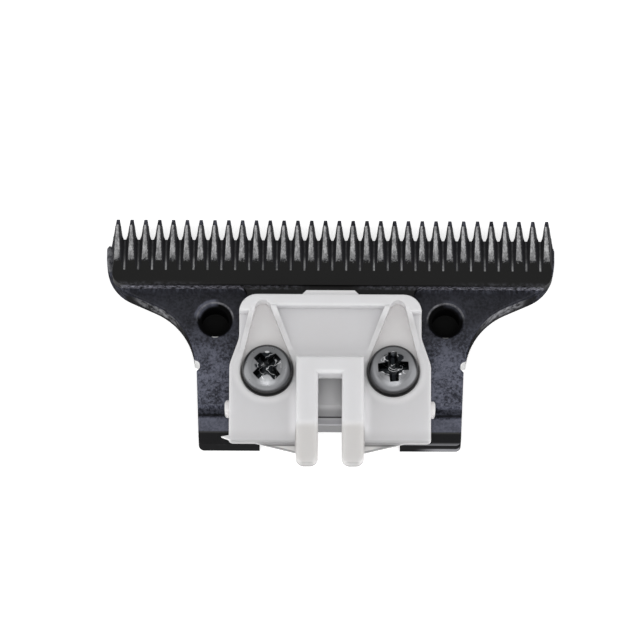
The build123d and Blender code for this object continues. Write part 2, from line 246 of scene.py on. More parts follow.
@cache
def ground_face() -> Tree:
    """Makes the effect that finds a ground face, which lies on a plane that falls along Y.

    Returns:
        The effect, whose mask is 1 on the face and has a ragged border.
    """
    inner_share = 0.4
    numbers = ("Start Y", "Start Z", "Fall", "Reach", "Rag", "Rag Scale")
    wiring, sockets, output = effect_tree("ground_face", {Kind.PLACE: ("Place",), Kind.NUMBER: numbers})
    _, along, height = wiring.apart(sockets["Place"])
    run = wiring.minus(along, sockets["Start Y"])
    plane = wiring.minus(sockets["Start Z"], wiring.times(run, sockets["Fall"]))
    off_plane = wiring.absolute(wiring.minus(plane, height))
    waver = wiring.waver(sockets["Place"], Cloud(sockets["Rag Scale"], detail=4.0, rough=0.65))
    ragged = wiring.plus(off_plane, wiring.times(waver, sockets["Rag"]))
    inner = wiring.times(sockets["Reach"], inner_share)
    wiring.feed(output.inputs["Mask"], wiring.step(ragged, sockets["Reach"], inner))
    return wiring.tree


@cache
def mottle() -> Tree:
    """Makes the effect that lays specks on clouds.

    Returns:
        The effect, whose mask runs from 0 to 1.
    """
    inputs = {Kind.PLACE: ("Place",), Kind.NUMBER: ("Cloud Scale", "Speck Scale", "Specks")}
    wiring, sockets, output = effect_tree("mottle", inputs)
    clouds = wiring.noise(sockets["Place"], Cloud(sockets["Cloud Scale"], detail=3.0, rough=0.6))
    specks = wiring.noise(sockets["Place"], Cloud(sockets["Speck Scale"], detail=2.0, rough=0.7))
    joined = wiring.between(sockets["Specks"], clouds, specks)
    wiring.feed(output.inputs["Mask"], wiring.step(joined, *NOISE_SPAN))
    return wiring.tree


@cache
def grain() -> Tree:
    """Makes the effect that gives fine surface height, even grain with drawn-out grinding marks in it.

    Returns:
        The effect, whose mask is the height.
    """
    inputs = {Kind.PLACE: ("Place", "Drawn Place"), Kind.NUMBER: ("Grain Scale", "Marks")}
    wiring, sockets, output = effect_tree("grain", inputs)
    even = wiring.noise(sockets["Place"], Cloud(sockets["Grain Scale"], detail=2.0, rough=0.5))
    marks = wiring.noise(sockets["Drawn Place"], Cloud(sockets["Grain Scale"], detail=2.0, rough=0.6))
    wiring.feed(output.inputs["Mask"], wiring.between(sockets["Marks"], even, marks))
    return wiring.tree


class Shading:
    """One material under way: its wiring, its shader, and the places in millimetres that its masks read."""

    def __init__(self, name: str) -> None:
        """Starts the material.

        Args:
            name: the name that it gets.
        """
        self.material = bpy.data.materials.new(name)
        self.material.use_nodes = True
        self.wiring = Wiring(self.material.node_tree)
        self.surface = self.material.node_tree.nodes["Principled BSDF"]
        source = self.wiring.add("ShaderNodeTexCoord", {})
        scaled = {0: source.outputs["Object"], "Scale": MM_PER_M}
        self.place = self.wiring.add("ShaderNodeVectorMath", scaled, operation="SCALE").outputs[0]
        self.across, self.along, self.height = self.wiring.apart(self.place)
        self.out = self.wiring.absolute(self.across)

    def set(self, **inputs: Feed) -> None:
        """Feeds the Principled shader's sockets, named with underscores for spaces."""
        for name, value in inputs.items():
            self.wiring.feed(self.surface.inputs[name.replace("_", " ")], value)

    def from_axis(self, x: float, y: float) -> tuple[Socket, Socket, Socket]:
        """Measures from the nearer of the two upright axes at x and -x.

        Args:
            x: how far each axis stands from the middle.
            y: where both axes stand along the set.

        Returns:
            How far a point lies outward of the axis, ahead of it, and from it in all.
        """
        outward = self.wiring.minus(self.out, x)
        ahead = self.wiring.minus(self.along, y)
        return outward, ahead, self.wiring.math("SQRT", self.wiring.squares(outward, ahead))

    def ground(self, start: tuple[float, float], fall: float, border: Border) -> Socket:
        """Finds a ground face.

        Args:
            start: the Y and Z that the face falls from.
            fall: how far it falls for each millimetre along Y.
            border: its border.

        Returns:
            A mask, 1 on the face.
        """
        start_y, start_z = start
        return self.wiring.effect(ground_face(), {
            "Place": self.place, "Start Y": start_y, "Start Z": start_z, "Fall": fall,
            "Reach": border.reach, "Rag": border.rag, "Rag Scale": border.rag_scale,
        })

    def mottled(self, pattern: Mottle, place: Feed) -> Socket:
        """Returns specks on clouds, read at a place."""
        return self.wiring.effect(mottle(), {
            "Place": place, "Cloud Scale": pattern.clouds, "Speck Scale": pattern.specks,
            "Specks": pattern.share,
        })

    def roughen(self, pattern: Grain, drawn: Feed) -> None:
        """Raises the surface by fine grain.

        Args:
            pattern: the grain.
            drawn: the place that its drawn-out marks read.
        """
        height = self.wiring.effect(grain(), {
            "Place": self.place, "Drawn Place": drawn, "Grain Scale": pattern.scale, "Marks": pattern.marks,
        })
        inputs = {"Height": height, "Strength": pattern.strength, "Distance": pattern.depth}
        self.set(Normal=self.wiring.add("ShaderNodeBump", inputs).outputs["Normal"])


@dataclass
class BladePiece:
    """One piece of the set, as it stands in the frame. Sizes are in millimetres."""

    piece: Piece

    def corners(self) -> tuple[Vector, Vector]:
        """Returns the piece's lowest and highest corner."""
        low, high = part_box(self.piece.value)
        return low * MM_PER_M, high * MM_PER_M

    def dress(self, material: Material) -> None:
        """Gives the piece its finish, all over.

        Args:
            material: the finish.
        """
        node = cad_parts[self.piece.value]
        node.data.materials.clear()
        node.data.materials.append(material)
        log.info("%s dressed in %s", self.piece.value, material.name)


@dataclass
class Cutter(BladePiece):
    """The toothed cutter that slides on the fixed blade."""

    piece: Piece = Piece.CUTTER
    bevel_y: float = 5.19
    tip_thickness: float = 0.35
    groove_y: float = 4.32
    groove_open_y: float = 7.68
    rear_y: float = 2.98
    stem_drop: float = 0.3
    row_x: float = 0.15
    pitch: float = 1.27
    wear_shift: float = 0.08
    top_z: float = field(init=False)
    stem_z: float = field(init=False)
    bevel_fall: float = field(init=False)
    groove_fall: float = field(init=False)

    def __post_init__(self) -> None:
        """Works out its heights, and how its bevel and grooves fall."""
        low, high = self.corners()
        self.top_z = high.z
        self.stem_z = high.z - self.stem_drop
        self.bevel_fall = (high.z - low.z - self.tip_thickness) / (high.y - self.bevel_y)
        self.groove_fall = (high.z - low.z) / (self.groove_open_y - self.groove_y)

    def build(self) -> None:
        """Dresses the cutter."""
        self.dress(CutterSteel().material(self))


@dataclass
class FixedBlade(BladePiece):
    """The thick T-shaped blade that the cutter slides on."""

    piece: Piece = Piece.FIXED_BLADE
    hole_x: float = 10.55
    hole_y: float = 0.0
    chamfer_radius: float = 1.72
    guide_y: float = -8.7
    cutter_y: float = Cutter.rear_y
    bevel_run: float = 1.1
    slot_half: float = 1.3
    relief_x: float = 12.38
    relief_y: float = -4.37
    relief_radius: float = 0.5
    bare_end_x: float = 20.0
    scuff_from: float = 14.2
    scuff_to: float = 18.6
    top_z: float = field(init=False)
    rear_y: float = field(init=False)
    bevel_y: float = field(init=False)

    def __post_init__(self) -> None:
        """Reads its height and its rear edge from the frame."""
        low, high = self.corners()
        self.top_z = high.z
        self.rear_y = low.y
        self.bevel_y = low.y + self.bevel_run

    def build(self) -> None:
        """Dresses the fixed blade."""
        self.dress(FixedBladeSteel().material(self))


@dataclass
class YokeScrews(BladePiece):
    """The two pan-head screws that clamp the yoke to the cutter."""

    piece: Piece = Piece.SCREWS
    head_radius: float = 2.28
    recess_reach: float = 1.35
    chewed_reach: float = 1.0
    lobe_y: float = 0.8
    lobe_half: tuple[float, float] = (0.95, 0.5)
    # Where the painted glint at the recess's front lies, and its half size
    front_glint_y: float = 1.34
    front_glint_half: tuple[float, float] = (0.22, 0.12)
    axis_x: float = field(init=False)
    axis_y: float = field(init=False)
    top_z: float = field(init=False)

    def __post_init__(self) -> None:
        """Works out where the screws' axes stand, and how high."""
        low, high = self.corners()
        self.axis_x = high.x - self.head_radius
        self.axis_y = (low.y + high.y) / 2
        self.top_z = high.z

    def build(self) -> None:
        """Dresses the screws."""
        self.dress(PlatedSteel().material(self))


@dataclass
class DriveYoke(BladePiece):
    """The white moulded yoke that carries the drive fork."""

    piece: Piece = Piece.YOKE
    fork_height: float = 1.9
    fork_half: float = 3.1
    fork_y: float = -4.5
    fork_slope: float = 3.1
    fork_overhang: float = 1.76
    rim_height: float = 1.1
    rim_width: float = 1.1
    pocket_depth: float = 0.3
    gap_radius: float = 2.48
    web_length: float = 3.7
    web_reach: float = 0.9
    rib_drop: float = 0.3
    screw_x: float = field(init=False)
    screw_y: float = field(init=False)
    tip_y: float = field(init=False)
    prong_y: float = field(init=False)
    rear_y: float = field(init=False)
    rim_y: float = field(init=False)
    underside_z: float = field(init=False)
    plate_z: float = field(init=False)
    rim_z: float = field(init=False)
    seat_z: float = field(init=False)

    def __post_init__(self) -> None:
        """Works out where its fork, plate, rim and recesses stand."""
        low, high = self.corners()
        screws = YokeScrews()
        self.screw_x, self.screw_y = screws.axis_x, screws.axis_y
        self.tip_y = low.y
        self.prong_y = low.y + self.fork_slope
        self.rear_y = low.y + self.fork_overhang
        self.rim_y = high.y - self.rim_width
        self.underside_z = low.z + self.rib_drop
        self.plate_z = high.z - self.fork_height
        self.rim_z = self.plate_z + self.rim_height
        self.seat_z = self.plate_z - self.pocket_depth

    def build(self) -> None:
        """Dresses the yoke."""
        self.dress(MouldedPlastic().material(self))


@dataclass(frozen=True)
class CutterSteel:
    """Black coated steel with bare ground faces on its teeth and a film of oil on its flat top."""

    coat: Colour = (0.0060, 0.0060, 0.0059, 1.0)
    groove_wall_sheen: Colour = (0.029, 0.029, 0.032, 1.0)
    bare_dark: Colour = (0.19, 0.19, 0.195, 1.0)
    bare_light: Colour = (0.66, 0.66, 0.667, 1.0)
    scuff: Colour = (0.37, 0.37, 0.435, 1.0)
    film: float = 0.5
    film_roughness: float = 0.38
    bare_roughness: float = 0.50
    bare_metal: float = 0.35
    coat_shine: float = 0.01
    below_top: Span = (0.04, 0.01)
    past_groove: Span = (-0.1, 0.0)
    speckle: Mottle = Mottle(clouds=3.2, specks=12.0, share=0.5)
    speckle_drawn: Factors = (1.0, 0.3, 0.6)
    marks: Grain = Grain(scale=16.0, marks=0.6, strength=0.25)
    marks_drawn: Factors = (1.0, 0.06, 0.06)

    # The worn stripe down each tooth
    worn_border: Border = Border(reach=0.05, rag=0.16, rag_scale=4.5)
    worn_cloud: Cloud = Cloud(5.5, detail=4.0, rough=0.7)
    worn_half: float = 0.37
    worn_taper: float = 0.056
    worn_ragged: float = 0.26
    worn_soft: float = 0.12
    worn_foot: Span = (0.08, 0.34)
    foot_ragged: float = 1.8
    worn_rise: Span = (0.1, 1.6)
    worn_least: float = 0.45

    # The bare line in each groove, painted brighter towards its rear end as a highlight
    line_border: Border = Border(reach=0.035, rag=0.03, rag_scale=3.0)
    line_below_top: Span = (0.005, 0.04)
    line_half: Span = (0.11, 0.05)
    line_cloud: Cloud = Cloud(0.9, detail=1.0)
    line_uneven: Span = (0.3, 0.7)
    line_highlight_fade: Span = (0.9, -0.3)
    line_least: float = 0.18
    line_weak: float = 0.10
    line_strong: float = 0.82

    # The scuffs along the rear
    scuff_cloud: Cloud = Cloud(3.0, detail=5.0, rough=0.75)
    scuff_drawn: Factors = (0.8, 1.0, 1.6)
    scuff_specks: Span = (0.42, 0.66)
    scuff_from_rear: Span = (-0.06, 0.0)
    scuff_to_stem: Span = (0.3, 0.1)
    scuff_below_top: Span = (0.05, 0.8)
    scuff_beside_yoke: Span = (1.5, 4.5)
    fray_from_rear: Span = (-0.4, -0.05)
    fray_out: Span = (9.0, 16.0)
    fray: float = 0.10
    seat_from_rear: Span = (0.0, 0.02)
    seat_face: Span = (0.05, 0.02)
    seat_line: Band = (0.16, 0.34, 0.14)
    seat_scuff: float = 0.26

    def pitches(self, shading: Shading, cutter: Cutter) -> Socket:
        """Returns how many pitches a point lies along the row of grooves."""
        return shading.wiring.over(shading.wiring.minus(shading.across, cutter.row_x), cutter.pitch)

    def worn_faces(self, shading: Shading, cutter: Cutter) -> Feed:
        """Finds the stripe worn bright down each tooth, which narrows and brightens towards the tip.

        Args:
            shading: the material under way.
            cutter: the cutter.

        Returns:
            A mask, 1 where the steel is bare.
        """
        wiring = shading.wiring
        past_bevel = wiring.minus(shading.along, cutter.bevel_y)
        count = self.pitches(shading, cutter)
        from_groove = wiring.times(wiring.math("FRACT", count), cutter.pitch)
        from_middle = wiring.minus(from_groove, cutter.pitch / 2)
        from_stripe = wiring.absolute(wiring.plus(from_middle, cutter.wear_shift))
        ragged = wiring.waver(shading.place, self.worn_cloud)
        tapered = wiring.minus(self.worn_half, wiring.times(past_bevel, self.worn_taper))
        half = wiring.plus(tapered, wiring.times(ragged, self.worn_ragged))
        foot = wiring.plus(past_bevel, wiring.times(ragged, self.foot_ragged))
        return wiring.times(
            shading.ground((cutter.bevel_y, cutter.top_z), cutter.bevel_fall, self.worn_border),
            wiring.step(from_stripe, half, wiring.minus(half, self.worn_soft)),
            wiring.step(foot, *self.worn_foot),
            wiring.between(wiring.step(past_bevel, *self.worn_rise), self.worn_least, 1.0),
        )

    def groove_lines(self, shading: Shading, cutter: Cutter) -> Feed:
        """Finds the narrow bare line at the bottom of each groove, painted brightest towards its rear end as
        a highlight.

        Args:
            shading: the material under way.
            cutter: the cutter.

        Returns:
            A mask, 1 where the steel is bare and painted as a highlight.
        """
        wiring = shading.wiring
        past_bevel = wiring.minus(shading.along, cutter.bevel_y)
        below = wiring.minus(cutter.top_z, shading.height)
        count = self.pitches(shading, cutter)
        off_groove = wiring.absolute(wiring.minus(count, wiring.math("ROUND", count)))
        across_row = wiring.stretch(shading.place, ALONG_X_ONLY)
        uneven = wiring.step(wiring.noise(across_row, self.line_cloud), *self.line_uneven)
        strong = wiring.times(
            wiring.between(uneven, self.line_least, 1.0), wiring.step(past_bevel, *self.line_highlight_fade))
        return wiring.times(
            shading.ground((cutter.groove_y, cutter.top_z), cutter.groove_fall, self.line_border),
            wiring.step(below, *self.line_below_top),
            wiring.step(wiring.times(off_groove, cutter.pitch), *self.line_half),
            wiring.between(strong, self.line_weak, self.line_strong),
        )

    def seat(self, shading: Shading, cutter: Cutter) -> Feed:
        """Returns 1 on top of the stem, which is ground lower than the toothed bar."""
        behind = shading.wiring.past(cutter.rear_y, shading.along, self.seat_from_rear)
        upper = shading.wiring.past(cutter.stem_z, shading.height, self.seat_face)
        return shading.wiring.times(behind, upper)

    def scuffs(self, shading: Shading, cutter: Cutter) -> Feed:
        """Finds the scuffs: on the rear face, frayed onto the top, and in a line on the stem.

        Args:
            shading: the material under way.
            cutter: the cutter.

        Returns:
            A mask, 1 where the coat is scuffed.
        """
        wiring = shading.wiring
        behind = wiring.minus(cutter.rear_y, shading.along)
        below = wiring.minus(cutter.top_z, shading.height)
        face = wiring.times(
            wiring.step(behind, *self.scuff_from_rear),
            wiring.step(behind, *self.scuff_to_stem),
            wiring.step(below, *self.scuff_below_top),
        )
        frayed = wiring.times(
            wiring.step(behind, *self.fray_from_rear), wiring.step(shading.out, *self.fray_out), self.fray)
        lined = wiring.times(
            self.seat(shading, cutter), wiring.band(behind, *self.seat_line), self.seat_scuff)
        cloud = wiring.noise(wiring.stretch(shading.place, self.scuff_drawn), self.scuff_cloud)
        return wiring.times(
            wiring.largest(face, frayed, lined),
            wiring.step(cloud, *self.scuff_specks),
            wiring.step(shading.out, *self.scuff_beside_yoke),
        )

    def material(self, cutter: Cutter) -> Material:
        """Makes the finish.

        Args:
            cutter: the cutter, whose bevel and grooves are ground bare.

        Returns:
            The material.
        """
        shading = Shading("cutter_steel")
        wiring = shading.wiring
        top = wiring.past(cutter.top_z, shading.height, self.below_top)
        in_groove = wiring.times(
            wiring.minus(1.0, top),
            wiring.past(shading.along, cutter.groove_y, self.past_groove),
        )
        # Groove walls are painted lighter than the coat, a painted sheen.
        coated = wiring.blend(in_groove, self.coat, self.groove_wall_sheen)
        coated = wiring.blend(self.scuffs(shading, cutter), coated, self.scuff)
        speckle = shading.mottled(self.speckle, wiring.stretch(shading.place, self.speckle_drawn))
        steel = wiring.blend(speckle, self.bare_dark, self.bare_light)
        # Bare steel, with the groove floors painted brighter as a highlight.
        bare = wiring.largest(self.worn_faces(shading, cutter), self.groove_lines(shading, cutter))
        shading.set(
            Base_Color=wiring.blend(bare, coated, steel),
            Metallic=wiring.times(bare, self.bare_metal),
            Roughness=wiring.between(bare, self.film_roughness, self.bare_roughness),
            Specular_IOR_Level=self.coat_shine,
            Coat_Weight=wiring.times(wiring.largest(top, self.seat(shading, cutter)), self.film),
            Coat_Roughness=self.film_roughness,
        )
        shading.roughen(self.marks, wiring.stretch(shading.place, self.marks_drawn))
        return shading.material


@dataclass(frozen=True)
class FixedBladeSteel:
    """Blue-black coated steel, rubbed grey on the stem and bare on its shoulders and round its holes, with
    painted shade, highlights and reflections.
    """

    coat: Colour = (0.0086, 0.0089, 0.0120, 1.0)
    wall: Colour = (0.0155, 0.0155, 0.0163, 1.0)
    sunk: Colour = (0.0070, 0.0070, 0.0074, 1.0)
    rubbed_dark: Colour = (0.012, 0.013, 0.020, 1.0)
    rubbed_and_lit: Colour = (0.145, 0.152, 0.197, 1.0)
    bare: Colour = (0.25, 0.25, 0.265, 1.0)
    hole: Colour = (0.004, 0.004, 0.0042, 1.0)
    slot_reflection: Colour = (0.62, 0.62, 0.63, 1.0)
    # Painted glints and reflections
    bright: Colour = (0.80, 0.80, 0.80, 1.0)
    film: float = 0.46
    film_roughness: float = 0.40
    rubbed_roughness: float = 0.52
    ring_metal: float = 0.5
    coat_shine: float = 0.0
    below_top: Span = (0.07, 0.02)
    upper_part: Span = (0.45, 0.2)
    rag: Cloud = Cloud(1.6, detail=5.0, rough=0.7)
    rag_drawn: Factors = (1.0, 1.0, 0.7)
    left_to_right: Span = (-1.0, 1.0)
    marks: Grain = Grain(scale=12.0, marks=0.35, strength=0.3, depth=0.00003)
    marks_drawn: Factors = (0.08, 1.0, 1.0)

    # The rubbed stem, and the painted shade in its guide groove
    stem: Span = (0.5, -5.0)
    past_rear_bevel: Span = (-0.05, 0.1)
    stem_speckle: Mottle = Mottle(clouds=0.6, specks=4.8, share=0.58)
    shoulder_rub: float = 0.15
    even_behind_guide: Span = (0.55, 0.85)
    even_share: float = 0.6
    even_rub: float = 0.66
    guide_band: Band = (-0.35, 0.58, 0.2)
    groove_shade_band: Band = (0.12, 0.5, 0.14)
    slot_shade_band: Band = (0.40, 0.58, 0.07)
    groove_shade: float = 0.9
    guide_shade: float = 0.61
    slot_guide_shade: float = 0.26

    # The bare edges, with painted highlights on the holes' front edges and on the rear wall's top edge and
    # foot
    ring_band: Band = (-0.12, 0.02, 0.06)
    ring_front: Span = (-0.4, 0.8)
    ring_rag: Ends = (0.25, 0.9)
    shoulder_soft: float = 1.2
    shoulder_behind: Span = (2.4, 1.6)
    shoulder_below: Span = (0.05, 0.3)
    shoulder_above: Span = (2.5, 1.4)
    end_soft: float = 0.06
    end_band: Band = (4.6, 7.0, 0.15)
    end_rub: float = 0.8
    rear_wall: Span = (0.3, 0.1)
    rear_right: Span = (3.5, 10.0)
    rear_line: Band = (2.08, 2.24, 0.06)
    rear_highlight_share: float = 0.75
    rear_foot: Span = (1.05, 0.75)
    rear_foot_right: Span = (7.6, 10.0)

    # The frayed scuffs behind the cutter
    fray_cloud: Cloud = Cloud(0.5, detail=2.0)
    fray_reach: float = 1.3
    streak_cloud: Cloud = Cloud(3.2, detail=4.0, rough=0.7)
    streak_drawn: Factors = (1.0, 0.3, 1.0)
    streaks: Span = (0.40, 0.68)
    fray_out: Span = (2.0, 9.0)
    fray: float = 0.42

    # The painted reflection of the white fork, grey on the steel below it
    slot_soft: float = 0.12
    slot_front: Span = (-5.2, -5.5)
    slot_behind_guide: Span = (0.5, 0.9)
    slot_low: float = 0.68
    slot_rear: float = 0.62

    # The painted shade in the holes, the painted highlights on their edges, and the painted reflections on
    # the reliefs
    hole_inside: Span = (-0.04, -0.2)
    lit_towards: tuple[float, float] = (0.6, 0.8)
    lit_cosine: float = 0.62
    lit_fade: Span = (0.0, 0.45)
    lit_band: Band = (-0.3, 0.25, 0.12)
    lit_rag: Ends = (0.4, 0.8)
    lit_right: float = 0.3
    glint_band: Band = (-0.16, -0.06, 0.05)
    glint_half: Span = (0.36, 0.16)
    glint_rear: Span = (-0.5, -1.2)
    glint_right: float = 0.25
    relief_wall: Span = (0.12, 0.04)
    relief_below: Span = (0.06, 0.14)
    relief_front: Span = (0.12, 0.3)

    def ragged(self, shading: Shading) -> Socket:
        """Returns ragged patches, from 0 to 1."""
        cloud = shading.wiring.noise(shading.wiring.stretch(shading.place, self.rag_drawn), self.rag)
        return shading.wiring.step(cloud, *NOISE_SPAN)

    def weaker_right(self, shading: Shading, right: float) -> Socket:
        """Returns 1 on the left side of the set and a lesser value on the right."""
        return shading.wiring.between(shading.wiring.step(shading.across, *self.left_to_right), 1.0, right)

    def bare_and_lit_edges(self, shading: Shading, blade: FixedBlade) -> tuple[Feed, Feed]:
        """Finds bare steel and painted highlights: the holes' front edges, the shoulders' middles, the left
        end and the rear wall.

        Args:
            shading: the material under way.
            blade: the fixed blade.

        Returns:
            A mask for all bare steel and painted highlights, and one for the holes' edges alone.
        """
        wiring = shading.wiring
        below = wiring.minus(blade.top_z, shading.height)
        ragged = self.ragged(shading)
        _, ahead, radius = shading.from_axis(blade.hole_x, blade.hole_y)
        # The holes' front edges: worn bare, and painted lighter on the front side alone as a highlight.
        ring = wiring.times(
            wiring.band(wiring.minus(radius, blade.chamfer_radius), *self.ring_band),
            wiring.step(ahead, *self.ring_front),
            wiring.between(ragged, *self.ring_rag),
        )
        # The shoulders' middles: scuffed, and painted lighter as a reflection.
        shoulders = wiring.times(
            wiring.band(shading.out, blade.scuff_from, blade.scuff_to, self.shoulder_soft),
            wiring.step(shading.along, *self.shoulder_behind),
            wiring.step(below, *self.shoulder_below),
            wiring.step(below, *self.shoulder_above),
            ragged,
        )
        end = wiring.times(
            wiring.step(wiring.plus(shading.across, blade.bare_end_x), self.end_soft, -self.end_soft),
            wiring.band(shading.along, *self.end_band),
            wiring.step(below, *self.upper_part),
            ragged,
            self.end_rub,
        )
        # Painted highlights along the rear wall's top edge and its foot.
        line = wiring.times(wiring.band(shading.height, *self.rear_line), self.rear_highlight_share)
        foot = wiring.times(
            wiring.step(shading.height, *self.rear_foot), wiring.step(shading.across, *self.rear_foot_right))
        rear = wiring.times(
            wiring.largest(line, foot),
            wiring.past(shading.along, blade.rear_y, self.rear_wall),
            wiring.step(shading.across, *self.rear_right),
        )
        return wiring.largest(end, shoulders, ring, rear), ring

    def frayed(self, shading: Shading, blade: FixedBlade) -> Feed:
        """Finds where the scuffs along the cutter's rear face fray onto the shoulders.

        Args:
            shading: the material under way.
            blade: the fixed blade.

        Returns:
            A mask, strongest just behind the cutter.
        """
        wiring = shading.wiring
        across_row = wiring.stretch(shading.place, ALONG_X_ONLY)
        reach = wiring.times(wiring.noise(across_row, self.fray_cloud), self.fray_reach)
        streaks = wiring.noise(wiring.stretch(shading.place, self.streak_drawn), self.streak_cloud)
        return wiring.times(
            wiring.step(wiring.minus(blade.cutter_y, shading.along), reach, 0.0),
            wiring.step(streaks, *self.streaks),
            wiring.step(shading.out, *self.fray_out),
            self.fray,
        )

    def lit_edges(self, shading: Shading, blade: FixedBlade) -> Feed:
        """Finds the painted highlight on the chamfer on the outward front side of each hole.

        Args:
            shading: the material under way.
            blade: the fixed blade.

        Returns:
            A mask, weaker at the right hole.
        """
        wiring = shading.wiring
        outward, ahead, radius = shading.from_axis(blade.hole_x, blade.hole_y)
        towards_x, towards_y = self.lit_towards
        facing = wiring.plus(wiring.times(outward, towards_x), wiring.times(ahead, towards_y))
        return wiring.times(
            wiring.step(wiring.minus(facing, wiring.times(radius, self.lit_cosine)), *self.lit_fade),
            wiring.band(wiring.minus(radius, blade.chamfer_radius), *self.lit_band),
            wiring.between(self.ragged(shading), *self.lit_rag),
            self.weaker_right(shading, self.lit_right),
        )

    def painted_highlights(self, shading: Shading, blade: FixedBlade) -> Feed:
        """Finds the painted glints at the holes' rear edges, and the painted reflection on the rear-facing
        side of each relief.

        Args:
            shading: the material under way.
            blade: the fixed blade.

        Returns:
            A mask, 1 on the painted glints and reflections.
        """
        wiring = shading.wiring
        outward, ahead, radius = shading.from_axis(blade.hole_x, blade.hole_y)
        glint = wiring.times(
            wiring.band(wiring.minus(radius, blade.chamfer_radius), *self.glint_band),
            wiring.step(wiring.absolute(outward), *self.glint_half),
            wiring.step(ahead, *self.glint_rear),
            self.weaker_right(shading, self.glint_right),
        )
        _, ahead, radius = shading.from_axis(blade.relief_x, blade.relief_y)
        relief = wiring.times(
            wiring.past(radius, blade.relief_radius, self.relief_wall),
            wiring.past(blade.top_z, shading.height, self.relief_below),
            wiring.step(ahead, *self.relief_front),
        )
        return wiring.largest(relief, glint)

    def material(self, blade: FixedBlade) -> Material:
        """Makes the finish.

        Args:
            blade: the fixed blade, whose stem is rubbed by handling and by the drive.

        Returns:
            The material.
        """
        shading = Shading("fixed_blade_steel")
        wiring = shading.wiring
        below = wiring.minus(blade.top_z, shading.height)
        behind_guide = wiring.minus(blade.guide_y, shading.along)
        upper = wiring.step(below, *self.upper_part)
        past_bevel = wiring.past(shading.along, blade.bevel_y, self.past_rear_bevel)
        flat = wiring.times(upper, past_bevel)
        stem = wiring.step(shading.along, *self.stem)

        # The flat is rubbed grey in specks, most on the stem, and evenly behind the guide groove.
        speckle = shading.mottled(self.stem_speckle, shading.place)
        rubbed = wiring.times(speckle, flat, wiring.between(stem, self.shoulder_rub, 1.0))
        even = wiring.times(flat, wiring.step(behind_guide, *self.even_behind_guide), self.even_share)
        rubbed = wiring.between(even, rubbed, self.even_rub)

        # Painted shade lies along the rear side of the guide groove. Below the drive fork it is narrowed
        # into a line.
        in_guide = wiring.band(behind_guide, *self.guide_band)
        groove_shade = wiring.largest(
            wiring.times(wiring.band(behind_guide, *self.groove_shade_band), self.groove_shade),
            wiring.times(in_guide, self.guide_shade),
        )
        slot_groove_shade = wiring.largest(
            wiring.times(wiring.band(behind_guide, *self.slot_shade_band), self.groove_shade),
            wiring.times(in_guide, self.slot_guide_shade),
        )

        # Below the drive fork the steel is painted grey, a painted reflection of the fork's white walls.
        slot = wiring.times(
            wiring.band(shading.across, -blade.slot_half, blade.slot_half, self.slot_soft),
            wiring.step(shading.along, *self.slot_front),
            wiring.between(upper, self.slot_low, 1.0),
            wiring.between(wiring.step(behind_guide, *self.slot_behind_guide), 1.0, self.slot_rear),
        )

        _, _, radius = shading.from_axis(blade.hole_x, blade.hole_y)
        in_hole = wiring.past(radius, blade.chamfer_radius, self.hole_inside)
        # Walls and the rear bevel are painted lighter than the flat coat, a painted sheen.
        colour = wiring.blend(flat, self.wall, wiring.blend(stem, self.coat, self.rubbed_dark))
        greyed = wiring.largest(rubbed, self.frayed(shading, blade))
        colour = wiring.blend(greyed, colour, self.rubbed_and_lit)
        # Painted shade inside each hole's chamfer.
        colour = wiring.blend(in_hole, colour, self.hole)
        # Painted highlight on each hole's front chamfer, in the rubbed grey.
        colour = wiring.blend(self.lit_edges(shading, blade), colour, self.rubbed_and_lit)
        # Painted reflection of the fork's white walls below the fork.
        colour = wiring.blend(slot, colour, self.slot_reflection)
        # The guide groove's painted shade, in the sunk colour.
        colour = wiring.blend(wiring.between(slot, groove_shade, slot_groove_shade), colour, self.sunk)
        bare, ring = self.bare_and_lit_edges(shading, blade)
        # Bare steel, and the painted highlights on the rear wall, the hole edges and the shoulders.
        colour = wiring.blend(bare, colour, self.bare)
        shading.set(
            # Painted glints and painted reflections, in the bright colour.
            Base_Color=wiring.blend(self.painted_highlights(shading, blade), colour, self.bright),
            Metallic=wiring.times(ring, self.ring_metal),
            Roughness=wiring.between(rubbed, self.film_roughness, self.rubbed_roughness),
            Specular_IOR_Level=self.coat_shine,
            Coat_Weight=wiring.times(wiring.step(below, *self.below_top), self.film),
            Coat_Roughness=self.film_roughness,
        )
        shading.roughen(self.marks, wiring.stretch(shading.place, self.marks_drawn))
        return shading.material


